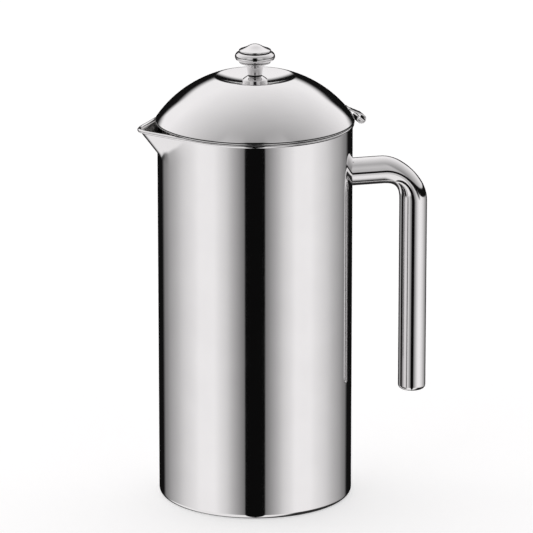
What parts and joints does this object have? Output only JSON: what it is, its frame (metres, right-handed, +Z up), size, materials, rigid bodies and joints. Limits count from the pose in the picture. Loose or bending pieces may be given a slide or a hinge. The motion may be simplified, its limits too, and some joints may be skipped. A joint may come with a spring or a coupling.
{
  "type": "french press",
  "caption": "Tall cylindrical steel coffee press with a V-shaped pouring lip, domed lid, turned knob, sliding filter plunger and open-ended tube handle.",
  "frame": {"origin": "on the pot's axis, at the plane of its foot", "axes": "+Z up along the pot's axis, +X towards the handle, -X towards the pouring lip"},
  "size_m": [0.1545, 0.1026, 0.2385],
  "materials": {
    "polished_steel": "mirror-polished stainless steel with very fine polishing marks",
    "satin_steel": "satin stainless steel with turning and drawing marks",
    "filter_steel": "woven and coiled stainless wire",
    "guide_plastic": "natural white bearing plastic",
    "insert_brass": "machined, unpolished"
  },
  "bodies": {
    "pot": {"pot_outer_shell": "polished_steel", "pot_inner_liner": "satin_steel", "pot_rim_bead": "polished_steel", "pot_base_disc": "polished_steel", "handle_tube": "polished_steel", "handle_end_plug": "polished_steel", "handle_weld": "polished_steel", "handle_backing_plate": "satin_steel"},
    "lid_guide": {"guide_collar": "polished_steel", "guide_tube": "satin_steel", "guide_bush": "guide_plastic", "guide_washer": "satin_steel", "guide_nut": "satin_steel"},
    "lid": {"lid_dome": "polished_steel", "lid_skirt": "satin_steel", "lid_inner_plate": "satin_steel", "lid_thumb_tab": "polished_steel"},
    "plunger": {"knob_cap": "polished_steel", "knob_body": "polished_steel", "knob_insert": "insert_brass", "plunger_rod": "polished_steel", "filter_hub": "satin_steel", "edge_spring": "filter_steel", "spreader_plate": "satin_steel", "filter_mesh": "filter_steel", "cross_plate": "satin_steel", "filter_nut": "satin_steel"}
  },
  "joints": [
    {"name": "lid_lift", "type": "slide", "parent": "pot", "child": "lid_guide", "axis": [0, 0, 1], "range_m": [0, 0.2]},
    {"name": "lid_turn", "type": "hinge", "parent": "lid_guide", "child": "lid", "pos_m": [0, 0, 0.199], "axis": [0, 0, 1], "range_deg": [-150, 150]},
    {"name": "plunger_slide", "type": "slide", "parent": "lid_guide", "child": "plunger", "axis": [0, 0, 1], "range_m": [0, 0.156]}
  ]
}
